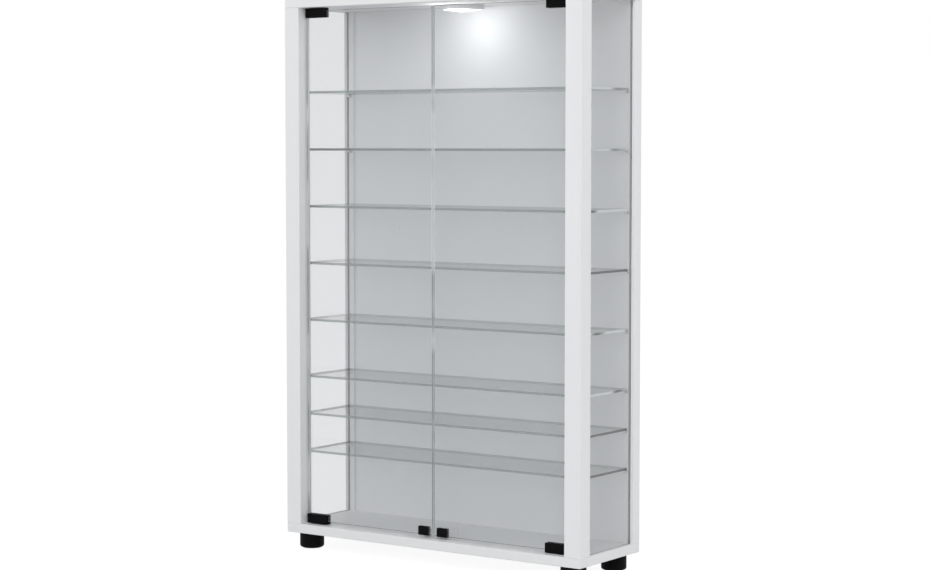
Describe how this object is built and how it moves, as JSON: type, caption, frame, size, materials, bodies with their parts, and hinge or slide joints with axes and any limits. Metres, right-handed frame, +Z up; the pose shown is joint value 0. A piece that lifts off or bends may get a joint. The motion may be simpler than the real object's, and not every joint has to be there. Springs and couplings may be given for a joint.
{
  "type": "wall mounted showcase",
  "caption": "Shallow glass display cabinet: white board frame, glass sides and shelves, and two pivoting glass doors with a push latch, a round lamp under the top and round feet.",
  "frame": {"origin": "on the surface that the feet stand on, under the middle of the case", "axes": "+X to the right as seen from the front, +Y to the back (the wall), +Z up"},
  "size_m": [0.6, 0.184, 0.948],
  "materials": {
    "white_board": "white melamine-faced board with a fine satin grain",
    "back_board": "white painted hardboard, matt",
    "clear_glass": "clear float glass with ground edges, faint green edge",
    "black_metal": "matt black powder coat on die-cast and folded metal",
    "dark_steel": "blackened steel",
    "nickel_steel": "nickel-plated steel",
    "black_plastic": "black moulded plastic, fine texture",
    "white_plastic": "white moulded plastic",
    "grey_plastic": "light grey moulded plastic",
    "frosted_plastic": "frosted diffuser, lit",
    "circuit_board": "white circuit board",
    "black_rubber": "soft black rubber",
    "grey_rubber": "dark grey soft pad",
    "nylon": "natural nylon",
    "beech": "plain beech"
  },
  "bodies": {
    "case": {"back_panel": "back_board", "bottom_board": "white_board", "cable_bush": "black_rubber", "case_bolts": "nickel_steel", "case_dowels": "beech", "cover_caps": "white_plastic", "foot_front_left": "black_plastic", "foot_front_right": "black_plastic", "foot_pads": "grey_rubber", "foot_rear_left": "black_plastic", "foot_rear_right": "black_plastic", "foot_screws": "nickel_steel", "front_post_left": "white_board", "front_post_right": "white_board", "hanger_plate_left": "nickel_steel", "hanger_plate_right": "nickel_steel", "lamp_board": "circuit_board", "lamp_housing": "white_plastic", "lamp_lens": "frosted_plastic", "latch_body": "grey_plastic", "latch_cap": "grey_plastic", "latch_springs": "nickel_steel", "panel_plugs": "white_plastic", "pivot_bushes": "nylon", "rear_post_left": "white_board", "rear_post_right": "white_board", "shelf_1": "clear_glass", "shelf_2": "clear_glass", "shelf_3": "clear_glass", "shelf_4": "clear_glass", "shelf_5": "clear_glass", "shelf_6": "clear_glass", "shelf_7": "clear_glass", "shelf_8": "clear_glass", "shelf_pins": "nickel_steel", "side_glass_left": "clear_glass", "side_glass_right": "clear_glass", "top_board": "white_board", "wood_screws": "nickel_steel"},
    "door_left": {"door_glass_left": "clear_glass", "hinge_clamp_bottom_left": "black_metal", "hinge_clamp_top_left": "black_metal", "hinge_pads_left": "black_rubber", "hinge_screws_left": "dark_steel", "hinge_pins_left": "nickel_steel", "strike_clip_left": "black_metal", "strike_liner_left": "black_rubber"},
    "door_right": {"door_glass_right": "clear_glass", "hinge_clamp_bottom_right": "black_metal", "hinge_clamp_top_right": "black_metal", "hinge_pads_right": "black_rubber", "hinge_screws_right": "dark_steel", "hinge_pins_right": "nickel_steel", "strike_clip_right": "black_metal", "strike_liner_right": "black_rubber"},
    "plunger_left": {"latch_plunger_left": "grey_plastic", "latch_magnet_left": "dark_steel"},
    "plunger_right": {"latch_plunger_right": "grey_plastic", "latch_magnet_right": "dark_steel"}
  },
  "joints": [
    {"name": "door_left_hinge", "type": "hinge", "parent": "case", "child": "door_left", "pos_m": [-0.2625, -0.072, 0.488], "axis": [0, 0, -1], "range_deg": [0, 90]},
    {"name": "door_right_hinge", "type": "hinge", "parent": "case", "child": "door_right", "pos_m": [0.2625, -0.072, 0.488], "axis": [0, 0, 1], "range_deg": [0, 90]},
    {"name": "plunger_left_slide", "type": "slide", "parent": "case", "child": "plunger_left", "axis": [0, 1, 0], "range_m": [0, 0.003], "stiffness_N_per_m": 400},
    {"name": "plunger_right_slide", "type": "slide", "parent": "case", "child": "plunger_right", "axis": [0, 1, 0], "range_m": [0, 0.003], "stiffness_N_per_m": 400}
  ]
}
